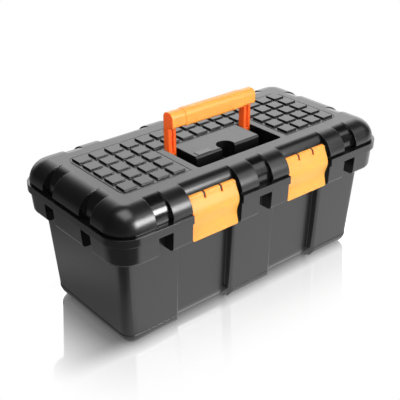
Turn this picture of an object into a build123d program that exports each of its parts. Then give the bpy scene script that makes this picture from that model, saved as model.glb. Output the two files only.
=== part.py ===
"""Moulded toolbox with a hinged dome lid, folding carry handle, snap latches and lift-out tray.

Millimetres. +X runs along the box to the right of someone facing it, the front faces -Y, +Z is up.
The origin is at the middle of the footprint, on the surface that the box stands on.
"""
import os
from math import radians, tan

from build123d import *

# Shell thicknesses and clearances
WALL = 3.0
LID_WALL = 2.8
TRAY_WALL = 2.2
LID_GAP = 0.4
PIN_CLEARANCE = 0.05
SIDE_PLAY = 0.5

# Tub: the rim is the overall outline, and what lies inside it is set back from it
RIM_LENGTH = 492.0
RIM_WIDTH = 243.4
RIM_CORNER = 36.0
PARTING_Z = 185.0
TUB_SETBACK_END = 27.2
TUB_SETBACK_SIDE = 31.4
TUB_CORNER = 11.0
DRAFT = 3.1
FOOT_ROUND = 18.0
FOOT_BAND = 18.5
FOOT_STEP = 0.5
COLLAR_SETBACK = 4.5
COLLAR_CORNER = 35.0
COLLAR_DROP = 43.2
COLLAR_ROUND = 6.0
RIM_DEPTH = 12.4
RIM_BEVEL = 1.2
SHELF_THICKNESS = 3.0
SHELF_REACH = 15.5

# Bays in the front of the tub and in the lid, with a catch for each latch
BAY_PITCH = 172.6
BAY_WIDTH = 84.0
BAY_SLOPE_HEIGHT = 14.0
FOOT_BAY_WIDTH = 94.0
FOOT_BAY_DEPTH = 12.5
FOOT_BAY_EDGE = 4.5
CATCH_WIDTH = 66.0
CATCH_DROP = 7.1
CATCH_HEIGHT = 6.5
CATCH_SETBACK = 12.8
CATCH_GUSSET = 2.6
CATCH_GUSSET_DROP = 13.0
CATCH_GUSSETS = 3

# Notches below the lid's grooves, which cut the collar away to the tub's wall
NOTCH_WIDTH = 23.0

# Lid dome
LID_HEIGHT = 31.8
DOME_SETBACK = 2.8
DOME_CORNER = 35.0
DOME_ROUND = 31.0
GROOVE_WIDTH = 26.0
GROOVE_DEPTH = 7.0
GROOVE_ROUND = 28.5
GROOVE_PITCH_LONG = 171.6
GROOVE_PITCH_END = 89.4
BAY_SETBACK_FRONT = 21.5
BAY_ROUND_FRONT = 15.7
BAY_SETBACK_REAR = 17.2
BAY_ROUND_REAR = 20.0
REBATE_HEIGHT = 3.0
REBATE_DEPTH = 1.4

# Raised tread pads on the lid and the engraved line round them
PAD_PITCH = 26.0
PAD_SIZE = 21.4
PAD_HEIGHT = 1.6
PAD_DRAFT = 20.0
PAD_COLUMNS = 15
PAD_ROWS = 5
PAD_SIDE_COLUMNS = 4
PAD_REAR_ROWS = 2
LINE_MARGIN = 5.0
LINE_WIDTH = 0.9
LINE_DEPTH = 0.6
LINE_CORNER = 7.0

# Handle well in the lid, with an island and a thumb notch
WELL_LENGTH = 154.0
WELL_PLAY = 2.0
WELL_FLOOR_PLAY = 1.1
WELL_CORNER = 4.0
ISLAND_END_PLAY = 4.7
ISLAND_FRONT_PLAY = 1.2
ISLAND_BEVEL = 2.6
THUMB_RADIUS = 13.5
THUMB_Y = -34.3
BOSS_RADIUS = 8.0
BOSS_LENGTH = 7.0

# Carry handle
PIVOT_Y = 2.0
PIVOT_DROP = 9.9
HANDLE_PLAY = 0.8
HANDLE_BACK_Y = 7.5
HANDLE_RISE = 57.8
ARM_WIDTH = 13.0
ARM_DEPTH = 10.7
ARM_FLUTE_WIDTH = 4.0
ARM_FLUTE_DEPTH = 2.4
GRIP_DEPTH = 20.5
GRIP_HEIGHT = 22.4
GRIP_ROUND_TOP = 8.5
GRIP_ROUND_BOTTOM = 5.0
GRIP_SLEEVE_LENGTH = 106.0
GRIP_SLEEVE_STEP = 0.9
HANDLE_PIN_RADIUS = 3.0
HANDLE_PIN_LENGTH = 20.0

# Latches
LATCH_PLAY = 2.7
LATCH_CORNER = 2.5
LATCH_PIN_SETBACK = 17.2
LATCH_PIN_DROP = 15.9
LATCH_BARREL = 4.0
LATCH_BULGE_SETBACK = 5.2
LATCH_BULGE_DROP = 7.1
LATCH_NECK_DROP = 22.0
LATCH_LIP_SETBACK = 6.7
LATCH_REACH = 43.0
LATCH_THICKNESS = 3.0
LATCH_BEAD = 0.4
LATCH_SLIT_WIDTH = 3.4
LATCH_SLIT_PITCH = 28.4
LATCH_SLIT_DROP = 20.5
LATCH_PIN_RADIUS = 1.6
LATCH_PIN_INSET = 2.3
EAR_RADIUS = 3.4

# Rear hinges
HINGE_RADIUS = 4.5
HINGE_RISE = 6.5
HINGE_PIN_RADIUS = 1.75
HINGE_PLAY = 5.0
HINGE_END_KNUCKLE = 10.0
HINGE_MID_KNUCKLE = 18.0

# Lift-out tray
TRAY_END_PLAY = 5.6
TRAY_SIDE_PLAY = 3.6
TRAY_DEPTH = 46.0
TRAY_CORNER = 14.0
TRAY_EDGE_ROUND = 5.0
TRAY_TAB_PLAY = 1.0
TRAY_TAB_CORNER = 4.0
TRAY_TAB_THICKNESS = 3.0
TRAY_SPINE = 7.0
TRAY_SPINE_LENGTH = 150.0
TRAY_SPINE_RISE = 14.0
TRAY_SPINE_ROUND = 10.0
TRAY_SLOT_LENGTH = 96.0
TRAY_SLOT_HEIGHT = 22.0
TRAY_REAR_CELLS = 4
TRAY_FRONT_CELLS = 2

# Places worked out from the sizes above
BEYOND = 60.0
SLOPE = tan(radians(DRAFT))
TUB_LENGTH = RIM_LENGTH - 2 * TUB_SETBACK_END
TUB_WIDTH = RIM_WIDTH - 2 * TUB_SETBACK_SIDE
COLLAR_LENGTH = RIM_LENGTH - 2 * COLLAR_SETBACK
COLLAR_WIDTH = RIM_WIDTH - 2 * COLLAR_SETBACK
DOME_LENGTH = RIM_LENGTH - 2 * DOME_SETBACK
DOME_WIDTH = RIM_WIDTH - 2 * DOME_SETBACK
BAY_FLOOR_FRONT = RIM_WIDTH / 2 - BAY_SETBACK_FRONT
BAY_FLOOR_REAR = RIM_WIDTH / 2 - BAY_SETBACK_REAR
CATCH_REACH = RIM_WIDTH / 2 - CATCH_SETBACK
LID_TOP = PARTING_Z + LID_HEIGHT
COLLAR_Z = PARTING_Z - COLLAR_DROP
RIM_LOW_Z = PARTING_Z - RIM_DEPTH
CATCH_TOP_Z = PARTING_Z - CATCH_DROP
BAY_X = (-BAY_PITCH / 2, BAY_PITCH / 2)
GROOVES_X = (-GROOVE_PITCH_LONG, 0.0, GROOVE_PITCH_LONG)
GROOVES_Y = (-GROOVE_PITCH_END / 2, GROOVE_PITCH_END / 2)
PIVOT_Z = LID_TOP - PIVOT_DROP
GRIP_TOP_Z = LID_TOP + HANDLE_RISE
HANDLE_LENGTH = WELL_LENGTH - 2 * HANDLE_PLAY
FOLDED_TOP_Y = PIVOT_Y - PIVOT_DROP - HANDLE_RISE
WELL_FRONT_Y = FOLDED_TOP_Y - GRIP_SLEEVE_STEP - WELL_PLAY
WELL_REAR_Y = HANDLE_BACK_Y + WELL_PLAY
WELL_DEPTH = PIVOT_DROP + PIVOT_Y - HANDLE_BACK_Y + GRIP_DEPTH + GRIP_SLEEVE_STEP + WELL_FLOOR_PLAY
ISLAND_LENGTH = HANDLE_LENGTH - 2 * (ARM_WIDTH + ISLAND_END_PLAY)
ISLAND_FRONT_Y = FOLDED_TOP_Y + GRIP_HEIGHT + GRIP_SLEEVE_STEP + ISLAND_FRONT_PLAY
LATCH_WIDTH = BAY_WIDTH - 2 * LATCH_PLAY
LATCH_PIN_LENGTH = LATCH_WIDTH - 2 * LATCH_PIN_INSET
LATCH_PIN_Y = LATCH_PIN_SETBACK - RIM_WIDTH / 2
LATCH_BULGE_Y = LATCH_BULGE_SETBACK - RIM_WIDTH / 2
LATCH_LIP_Y = LATCH_LIP_SETBACK - RIM_WIDTH / 2
LATCH_PIN_Z = LID_TOP - LATCH_PIN_DROP
LATCH_SLIT_Z = LID_TOP - LATCH_SLIT_DROP
LATCH_BULGE_Z = PARTING_Z - LATCH_BULGE_DROP
LATCH_NECK_Z = PARTING_Z - LATCH_NECK_DROP
LATCH_BOTTOM_Z = PARTING_Z - LATCH_REACH
HINGE_Y = RIM_WIDTH / 2 - HINGE_RADIUS
HINGE_Z = PARTING_Z + HINGE_RISE
HINGE_WIDTH = BAY_WIDTH - 2 * HINGE_PLAY
TRAY_SEAT_Z = COLLAR_Z + WALL
TRAY_SPREAD = TRAY_SEAT_Z * SLOPE - WALL
TRAY_LENGTH = TUB_LENGTH + 2 * (TRAY_SPREAD - TRAY_END_PLAY)
TRAY_FRONT_Y = FOOT_BAY_DEPTH + TRAY_SIDE_PLAY - TRAY_SPREAD - TUB_WIDTH / 2
TRAY_REAR_Y = TUB_WIDTH / 2 + TRAY_SPREAD - TRAY_SIDE_PLAY
TRAY_TAB_LENGTH = COLLAR_LENGTH - 2 * (COLLAR_ROUND + TRAY_TAB_PLAY)
TRAY_TAB_WIDTH = GROOVE_PITCH_END - NOTCH_WIDTH - 2 * (WALL + TRAY_TAB_PLAY)
SIDES = {"left": -1, "right": 1}


def block(x, y, z):
    """Box between two corners, given as (low, high) on each axis."""
    centre = Pos((x[0] + x[1]) / 2, (y[0] + y[1]) / 2, (z[0] + z[1]) / 2)
    return centre * Box(x[1] - x[0], y[1] - y[0], z[1] - z[0])


def upright(length, width, corner, z_low, z_high):
    """Upright prism with rounded corners, centred on the Z axis."""
    return Pos(0, 0, z_low) * extrude(RectangleRounded(length, width, corner), z_high - z_low)


def rod_x(radius, x, y, z):
    """Round bar along X between two ends."""
    bar = Rot(0, 90, 0) * Cylinder(radius, x[1] - x[0])
    return Pos((x[0] + x[1]) / 2, y, z) * bar


def along_x(outline, x):
    """Profile drawn in (Y, Z), pulled along X between two ends."""
    return extrude(Pos(x[0], 0, 0) * (Plane.YZ * outline), x[1] - x[0], dir=(1, 0, 0))


def drafted(length, width, corner, z_low, z_high):
    """Block that widens upwards by the moulding draft, with rounded upright edges."""
    form = Pos(0, 0, z_low) * extrude(Rectangle(length, width), z_high - z_low, taper=-DRAFT)
    return fillet(form.edges().group_by(Axis.Z)[1], corner)


def bay_floor_y(z, inset):
    """Front bay floor: the tub's front wall set back by the bay's depth, with the same draft."""
    return -(TUB_WIDTH / 2 - FOOT_BAY_DEPTH - inset + z * SLOPE)


def bay_cutter(x_mid, width, inset):
    """Everything in front of a bay's floor: rounded foot, drafted wall, slope out to a plumb top."""
    radius = FOOT_ROUND - inset
    top = PARTING_Z + BEYOND
    bend = COLLAR_Z + BAY_SLOPE_HEIGHT
    plumb = -BAY_FLOOR_FRONT + inset
    foot = bay_floor_y(inset + radius, inset)
    knee = bay_floor_y(COLLAR_Z, inset)
    outline = make_face([
        Line((-TUB_WIDTH, -BEYOND), (foot + radius, -BEYOND)),
        Line((foot + radius, -BEYOND), (foot + radius, inset)),
        RadiusArc((foot + radius, inset), (foot, inset + radius), radius),
        Line((foot, inset + radius), (knee, COLLAR_Z)),
        Line((knee, COLLAR_Z), (plumb, bend)),
        Line((plumb, bend), (plumb, top)),
        Line((plumb, top), (-TUB_WIDTH, top)),
        Line((-TUB_WIDTH, top), (-TUB_WIDTH, -BEYOND)),
    ])
    return along_x(outline, (x_mid - width / 2 - inset, x_mid + width / 2 + inset))


def notch_cutters(inset):
    """Bars that cut the collar away to the tub's drafted wall, in front and at both ends."""
    half = NOTCH_WIDTH / 2 + inset
    height = (COLLAR_Z - 1, RIM_LOW_Z + inset)
    wall = drafted(TUB_LENGTH - 2 * inset, TUB_WIDTH - 2 * inset, TUB_CORNER - inset, inset, PARTING_Z)
    bars = [block((x_mid - half, x_mid + half), (-RIM_WIDTH, 0), height) for x_mid in GROOVES_X]
    bars += [block((-RIM_LENGTH, RIM_LENGTH), (y_mid - half, y_mid + half), height) for y_mid in GROOVES_Y]
    return [bar - wall for bar in bars]


def footed_section(size, z_low, z_high, radius):
    """Section in (Y, Z) that widens upwards by the moulding draft, with its lower corners rounded."""
    spread = (z_high - z_low) * SLOPE
    outline = make_face(Polyline((-size / 2, z_low), (size / 2, z_low), (size / 2 + spread, z_high),
                                 (-size / 2 - spread, z_high), close=True))
    return fillet(outline.vertices().group_by(Axis.Y)[0], radius)


def lower_form(inset, z_low, z_high):
    """Lower tub with a rounded foot and the front bays, drawn in by a wall thickness."""
    length = TUB_LENGTH - 2 * inset
    width = TUB_WIDTH - 2 * inset
    radius = FOOT_ROUND - max(inset, 0)
    form = drafted(length, width, TUB_CORNER - inset, z_low, z_high)
    form &= along_x(footed_section(width, z_low, z_high, radius), (-length, length))
    form &= Rot(0, 0, 90) * along_x(footed_section(length, z_low, z_high, radius), (-length, length))
    for x_mid in BAY_X:
        form -= bay_cutter(x_mid, FOOT_BAY_WIDTH, inset)
    return form


def bay_edge_cutters():
    """Slivers that round the foot blocks' upright and lower edges beside the front bays."""
    size = FOOT_BAY_EDGE
    front = -TUB_WIDTH / 2
    inner = front + FOOT_BAY_DEPTH
    slivers = []
    for x_mid in BAY_X:
        for side in SIDES.values():
            edge = x_mid + side * FOOT_BAY_WIDTH / 2
            span = sorted((edge - side, edge + side * size))
            centre = edge + side * size
            bar = block(span, (-2, size), (-BEYOND, COLLAR_Z))
            bar -= Pos(centre, size, COLLAR_Z / 2) * Cylinder(size, 2 * COLLAR_Z)
            slivers.append(Pos(0, front, 0) * Rot(DRAFT, 0, 0) * bar)
            foot = block(span, (front - BEYOND, inner), (-1, size))
            foot -= Pos(centre, front, size) * Rot(90, 0, 0) * Cylinder(size, 4 * BEYOND)
            slivers.append(foot)
    return slivers


def tub_form(inset):
    """The tub's outer form, drawn in by a wall thickness to give its hollow."""
    form = lower_form(inset, inset, COLLAR_Z + WALL + 1)
    if inset == 0:
        form += lower_form(-FOOT_STEP, 0, FOOT_BAND)
        for sliver in bay_edge_cutters():
            form -= sliver
    collar = drafted(COLLAR_LENGTH - 2 * inset, COLLAR_WIDTH - 2 * inset, COLLAR_CORNER - inset,
                     COLLAR_Z + inset, PARTING_Z)
    if inset < COLLAR_ROUND:
        collar = fillet(collar.edges().group_by(Axis.Z)[0], COLLAR_ROUND - inset)
    for bar in notch_cutters(inset):
        collar -= bar
    form += collar
    for x_mid in BAY_X:
        form -= bay_cutter(x_mid, BAY_WIDTH, inset)
    return form


def rim_flange():
    """Flange round the tub's mouth, with a bevelled lower edge."""
    ring = upright(RIM_LENGTH, RIM_WIDTH, RIM_CORNER, RIM_LOW_Z, PARTING_Z)
    ring = chamfer(ring.edges().group_by(Axis.Z)[0], RIM_BEVEL)
    for x_mid in BAY_X:
        ring -= bay_cutter(x_mid, BAY_WIDTH, 0)
    return ring


def tub_hollow():
    """Inside of the tub, narrowed at the mouth by the shelf that the lid's wall stands on."""
    shelf_z = PARTING_Z - SHELF_THICKNESS
    hollow = tub_form(WALL) & block((-RIM_LENGTH, RIM_LENGTH), (-RIM_WIDTH, RIM_WIDTH), (0, shelf_z))
    mouth = upright(RIM_LENGTH - 2 * SHELF_REACH, RIM_WIDTH - 2 * SHELF_REACH,
                    RIM_CORNER - SHELF_REACH, shelf_z - 1, PARTING_Z + BEYOND)
    for x_mid in BAY_X:
        mouth -= bay_cutter(x_mid, BAY_WIDTH, WALL)
        reach = BAY_WIDTH / 2 + LID_WALL
        mouth -= block((x_mid - reach, x_mid + reach),
                       (BAY_FLOOR_REAR - LID_WALL - 1, RIM_WIDTH), (0, PARTING_Z + 2 * BEYOND))
    return hollow + mouth


def catch(x_mid):
    """Ledge across a bay that the latch snaps past, on tapered gussets."""
    low = CATCH_TOP_Z - CATCH_HEIGHT
    root = -BAY_FLOOR_FRONT + 1
    ledge = block((x_mid - CATCH_WIDTH / 2, x_mid + CATCH_WIDTH / 2),
                  (-CATCH_REACH, root), (low, CATCH_TOP_Z))
    gusset = make_face(Polyline(
        (-CATCH_REACH, low + 1), (root, low + 1), (root, low - CATCH_GUSSET_DROP),
        (-BAY_FLOOR_FRONT, low - CATCH_GUSSET_DROP), close=True))
    step = (CATCH_WIDTH - CATCH_GUSSET) / (CATCH_GUSSETS - 1)
    for k in range(CATCH_GUSSETS):
        x_low = x_mid - CATCH_WIDTH / 2 + k * step
        ledge += along_x(gusset, (x_low, x_low + CATCH_GUSSET))
    return ledge


def knuckle_spans(x_mid):
    """Ends along X of a hinge's knuckles: three on the tub and two on the lid, in turn."""
    half = HINGE_WIDTH / 2
    mid = HINGE_MID_KNUCKLE / 2
    tub_spans = [(-half, -half + HINGE_END_KNUCKLE), (-mid, mid), (half - HINGE_END_KNUCKLE, half)]
    lid_spans = [(-half + HINGE_END_KNUCKLE + SIDE_PLAY, -mid - SIDE_PLAY),
                 (mid + SIDE_PLAY, half - HINGE_END_KNUCKLE - SIDE_PLAY)]
    return ([(x_mid + a, x_mid + b) for a, b in tub_spans],
            [(x_mid + a, x_mid + b) for a, b in lid_spans])


def make_tub():
    """Drafted tub with a collar, rim flange, latch bays and hinge knuckles."""
    tub = tub_form(0) + rim_flange() - tub_hollow()
    for x_mid in BAY_X:
        tub += catch(x_mid)
        for span in knuckle_spans(x_mid)[0]:
            tub += rod_x(HINGE_RADIUS, span, HINGE_Y, HINGE_Z)
            tub += block(span, (HINGE_Y - HINGE_RADIUS, HINGE_Y + HINGE_RADIUS), (PARTING_Z - 1, HINGE_Z))
        tub -= rod_x(HINGE_PIN_RADIUS + PIN_CLEARANCE,
                     (x_mid - HINGE_WIDTH, x_mid + HINGE_WIDTH), HINGE_Y, HINGE_Z)
    return tub


def slope_cutter(flat_edge_round, floor, inset, width):
    """Everything outside a channel floor that curves down from the lid's flat top to a plumb wall."""
    radius = flat_edge_round - inset
    plumb = -floor + inset
    top = LID_TOP - inset
    outline = make_face([
        Line((plumb + radius, top), (plumb + radius, top + BEYOND)),
        Line((plumb + radius, top + BEYOND), (-RIM_LENGTH, top + BEYOND)),
        Line((-RIM_LENGTH, top + BEYOND), (-RIM_LENGTH, 0)),
        Line((-RIM_LENGTH, 0), (plumb, 0)),
        Line((plumb, 0), (plumb, top - radius)),
        RadiusArc((plumb, top - radius), (plumb + radius, top), radius),
    ])
    return along_x(outline, (-width / 2 - inset, width / 2 + inset))


def well_form(inset):
    """Handle well: a U-shaped trough round an island, with a thumb notch in the island's front."""
    length = WELL_LENGTH + 2 * inset
    front = WELL_FRONT_Y - inset
    rear = WELL_REAR_Y + inset
    outline = Pos(0, (front + rear) / 2) * RectangleRounded(length, rear - front, WELL_CORNER + inset)
    island_front = ISLAND_FRONT_Y + inset
    island = Pos(0, (island_front + BEYOND) / 2) * Rectangle(
        ISLAND_LENGTH - 2 * inset, BEYOND - island_front)
    trough = outline - island + Pos(0, THUMB_Y) * Circle(THUMB_RADIUS + inset)
    return Pos(0, 0, LID_TOP - WELL_DEPTH - inset) * extrude(trough, WELL_DEPTH + BEYOND)


def lid_form(inset, low):
    """The lid's outer form, drawn in by a wall thickness to give its hollow."""
    dome = upright(DOME_LENGTH - 2 * inset, DOME_WIDTH - 2 * inset, DOME_CORNER - inset,
                   LID_TOP - DOME_ROUND - 1, LID_TOP - inset)
    dome = fillet(dome.edges().group_by(Axis.Z)[-1], DOME_ROUND - inset)
    dome &= block((-RIM_LENGTH, RIM_LENGTH), (-RIM_WIDTH, RIM_WIDTH), (low, LID_TOP))
    long_floor = DOME_WIDTH / 2 - GROOVE_DEPTH
    end_floor = DOME_LENGTH / 2 - GROOVE_DEPTH
    for turn in (0, 180):
        for x_mid in GROOVES_X:
            dome -= Rot(0, 0, turn) * Pos(x_mid, 0, 0) * slope_cutter(
                GROOVE_ROUND, long_floor, inset, GROOVE_WIDTH)
        for y_mid in GROOVES_Y:
            dome -= Rot(0, 0, turn + 90) * Pos(y_mid, 0, 0) * slope_cutter(
                GROOVE_ROUND, end_floor, inset, GROOVE_WIDTH)
    for x_mid in BAY_X:
        dome -= Pos(x_mid, 0, 0) * slope_cutter(BAY_ROUND_FRONT, BAY_FLOOR_FRONT, inset, BAY_WIDTH)
        dome -= Rot(0, 0, 180) * Pos(x_mid, 0, 0) * slope_cutter(
            BAY_ROUND_REAR, BAY_FLOOR_REAR, inset, BAY_WIDTH)
    dome -= well_form(inset)
    if inset == 0:
        front = ISLAND_FRONT_Y
        wedge = make_face(Polyline((front - 1, LID_TOP + 1), (front + ISLAND_BEVEL + 1, LID_TOP + 1),
                                   (front - 1, LID_TOP - ISLAND_BEVEL - 1), close=True))
        dome -= along_x(wedge, (-ISLAND_LENGTH / 2, ISLAND_LENGTH / 2))
    return dome


def tread_pads():
    """Raised square pads: full columns on both sides and the rear rows across the middle."""
    first_x = -(PAD_COLUMNS - 1) / 2 * PAD_PITCH
    first_y = -(PAD_ROWS - 1) / 2 * PAD_PITCH
    places = []
    for column in range(PAD_COLUMNS):
        for row in range(PAD_ROWS):
            at_side = min(column, PAD_COLUMNS - 1 - column) < PAD_SIDE_COLUMNS
            if at_side or row >= PAD_ROWS - PAD_REAR_ROWS:
                places.append((first_x + column * PAD_PITCH, first_y + row * PAD_PITCH))
    pads = Locations(*places)
    outline = Sketch() + [place * Rectangle(PAD_SIZE, PAD_SIZE) for place in pads.locations]
    return Pos(0, 0, LID_TOP) * extrude(outline, PAD_HEIGHT, taper=PAD_DRAFT)


def tread_line():
    """Fine engraved line that follows the U-shaped field of pads."""
    def field(margin):
        half_x = (PAD_COLUMNS - 1) / 2 * PAD_PITCH + PAD_SIZE / 2 + margin
        half_y = (PAD_ROWS - 1) / 2 * PAD_PITCH + PAD_SIZE / 2 + margin
        gap = half_x - (PAD_SIDE_COLUMNS - 1) * PAD_PITCH - PAD_SIZE - 2 * margin
        depth = (PAD_ROWS - PAD_REAR_ROWS) * PAD_PITCH
        outer = RectangleRounded(2 * half_x, 2 * half_y, LINE_CORNER + margin)
        inner = Pos(0, -half_y + depth / 2 - margin) * RectangleRounded(
            2 * gap, depth + 2 * margin, LINE_CORNER - margin)
        return outer - inner
    ring = field(LINE_MARGIN) - field(LINE_MARGIN - LINE_WIDTH)
    return Pos(0, 0, LID_TOP - LINE_DEPTH) * extrude(ring, LINE_DEPTH + 1)


def make_lid():
    """Domed lid shell with grooves, latch and hinge bays, tread pads and the handle well."""
    low = PARTING_Z + LID_GAP
    lid = lid_form(0, low) - lid_form(LID_WALL, low - 1)
    ring = upright(RIM_LENGTH, RIM_WIDTH, RIM_CORNER, low - 1, low + REBATE_HEIGHT)
    lid -= ring - upright(DOME_LENGTH - 2 * REBATE_DEPTH, DOME_WIDTH - 2 * REBATE_DEPTH,
                          DOME_CORNER - REBATE_DEPTH, low - 1, low + REBATE_HEIGHT)
    for side in SIDES.values():
        wall = side * WELL_LENGTH / 2
        boss = sorted((wall, wall + side * BOSS_LENGTH))
        lid += rod_x(BOSS_RADIUS, boss, PIVOT_Y, PIVOT_Z)
        bore = sorted((wall - side, wall + side * (BOSS_LENGTH + 1)))
        lid -= rod_x(HANDLE_PIN_RADIUS + PIN_CLEARANCE, bore, PIVOT_Y, PIVOT_Z)
    for x_mid in BAY_X:
        for span in knuckle_spans(x_mid)[1]:
            lid += rod_x(HINGE_RADIUS, span, HINGE_Y, HINGE_Z)
            lid += block(span, (BAY_FLOOR_REAR - 1, HINGE_Y), (low + SIDE_PLAY, HINGE_Z + HINGE_RADIUS))
        lid -= rod_x(HINGE_PIN_RADIUS + PIN_CLEARANCE,
                     (x_mid - HINGE_WIDTH / 2, x_mid + HINGE_WIDTH / 2), HINGE_Y, HINGE_Z)
        for side in SIDES.values():
            ear = ear_span(x_mid, side)
            lid += rod_x(EAR_RADIUS, ear, LATCH_PIN_Y, LATCH_PIN_Z)
            lid += block(ear, (LATCH_PIN_Y, -BAY_FLOOR_FRONT + 1),
                         (LATCH_PIN_Z - EAR_RADIUS, LATCH_PIN_Z + EAR_RADIUS))
        lid -= rod_x(LATCH_PIN_RADIUS + PIN_CLEARANCE,
                     (x_mid - LATCH_WIDTH / 2, x_mid + LATCH_WIDTH / 2), LATCH_PIN_Y, LATCH_PIN_Z)
    lid -= tread_line()
    return lid + tread_pads()


def ear_span(x_mid, side):
    """Ends along X of a lid ear that holds the latch pin inside a slit of the latch."""
    centre = x_mid + side * LATCH_SLIT_PITCH / 2
    half = LATCH_SLIT_WIDTH / 2 - SIDE_PLAY
    return (centre - half, centre + half)


def grip_outline(grow):
    """Section of the grip: arched on top, softly rounded below, in (Y, Z)."""
    back = HANDLE_BACK_Y
    front = HANDLE_BACK_Y - GRIP_DEPTH - grow
    top = GRIP_TOP_Z + grow
    low = GRIP_TOP_Z - GRIP_HEIGHT - grow
    outline = make_face(Polyline((front, low), (back, low), (back, top), (front, top), close=True))
    corners = outline.vertices()
    outline = fillet(corners.filter_by(lambda v: v.Y > top - 1), GRIP_ROUND_TOP)
    return fillet(outline.vertices().filter_by(lambda v: v.Y < low + 1), GRIP_ROUND_BOTTOM)


def make_handle():
    """Bail handle: a deep grip on two fluted arms with round pivot ends."""
    half = HANDLE_LENGTH / 2
    handle = along_x(grip_outline(0), (-half, half))
    sleeve = GRIP_SLEEVE_LENGTH / 2
    cover = along_x(grip_outline(GRIP_SLEEVE_STEP), (-sleeve, sleeve))
    ends = cover.faces().sort_by(Axis.X)
    handle += chamfer(ends[0].edges() + ends[-1].edges(), GRIP_SLEEVE_STEP)
    arm_front = HANDLE_BACK_Y - ARM_DEPTH
    end_radius = HANDLE_BACK_Y - PIVOT_Y
    arm_top = GRIP_TOP_Z - GRIP_HEIGHT / 2
    for side in SIDES.values():
        span = sorted((side * half, side * (half - ARM_WIDTH)))
        arm = block(span, (arm_front, HANDLE_BACK_Y), (PIVOT_Z, arm_top))
        arm += rod_x(end_radius, span, PIVOT_Y, PIVOT_Z)
        middle = sum(span) / 2
        flute = (middle - ARM_FLUTE_WIDTH / 2, middle + ARM_FLUTE_WIDTH / 2)
        arm -= block(flute, (arm_front - 1, arm_front + ARM_FLUTE_DEPTH),
                     (PIVOT_Z + end_radius, GRIP_TOP_Z - GRIP_HEIGHT))
        handle += arm
        handle -= rod_x(HANDLE_PIN_RADIUS + PIN_CLEARANCE,
                        (span[0] - 1, span[1] + 1), PIVOT_Y, PIVOT_Z)
    return handle


def latch_outline():
    """Section of a latch in (Y, Z): barrel, bulge over the rim, neck below the catch, lip to pull."""
    thick = LATCH_THICKNESS
    skin = LATCH_PIN_Y - LATCH_BARREL
    neck = -CATCH_REACH - LATCH_BEAD
    places = ((skin, LATCH_PIN_Z), (LATCH_BULGE_Y, LATCH_BULGE_Z),
              (neck - thick, LATCH_NECK_Z), (LATCH_LIP_Y, LATCH_BOTTOM_Z))
    outer = Spline(*places, tangents=((-0.35, -1), (-0.2, -1)))
    inner = Spline(*[(y + thick, z) for y, z in places], tangents=((-0.35, -1), (-0.2, -1)))
    return make_face([
        outer,
        Line(outer @ 1, inner @ 1),
        inner,
        Line(inner @ 0, outer @ 0),
    ])


def make_latch(x_mid):
    """Snap latch: bowed plate on a pin barrel, slit twice for the lid's ears."""
    span = (x_mid - LATCH_WIDTH / 2, x_mid + LATCH_WIDTH / 2)
    latch = along_x(latch_outline(), span) + rod_x(LATCH_BARREL, span, LATCH_PIN_Y, LATCH_PIN_Z)
    latch -= rod_x(LATCH_PIN_RADIUS + PIN_CLEARANCE, (span[0] - 1, span[1] + 1), LATCH_PIN_Y, LATCH_PIN_Z)
    for side in SIDES.values():
        middle = x_mid + side * LATCH_SLIT_PITCH / 2
        latch -= block((middle - LATCH_SLIT_WIDTH / 2, middle + LATCH_SLIT_WIDTH / 2),
                       (LATCH_BULGE_Y - 1, LATCH_PIN_Y + LATCH_BARREL + 1),
                       (LATCH_SLIT_Z, LATCH_PIN_Z + LATCH_BARREL + 1))
    height = LATCH_PIN_Z + LATCH_BARREL - LATCH_BOTTOM_Z
    front = Pos(x_mid, 0, LATCH_BOTTOM_Z + height / 2) * Rot(90, 0, 0) * extrude(
        RectangleRounded(LATCH_WIDTH, height, LATCH_CORNER), RIM_WIDTH)
    return latch & front


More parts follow.
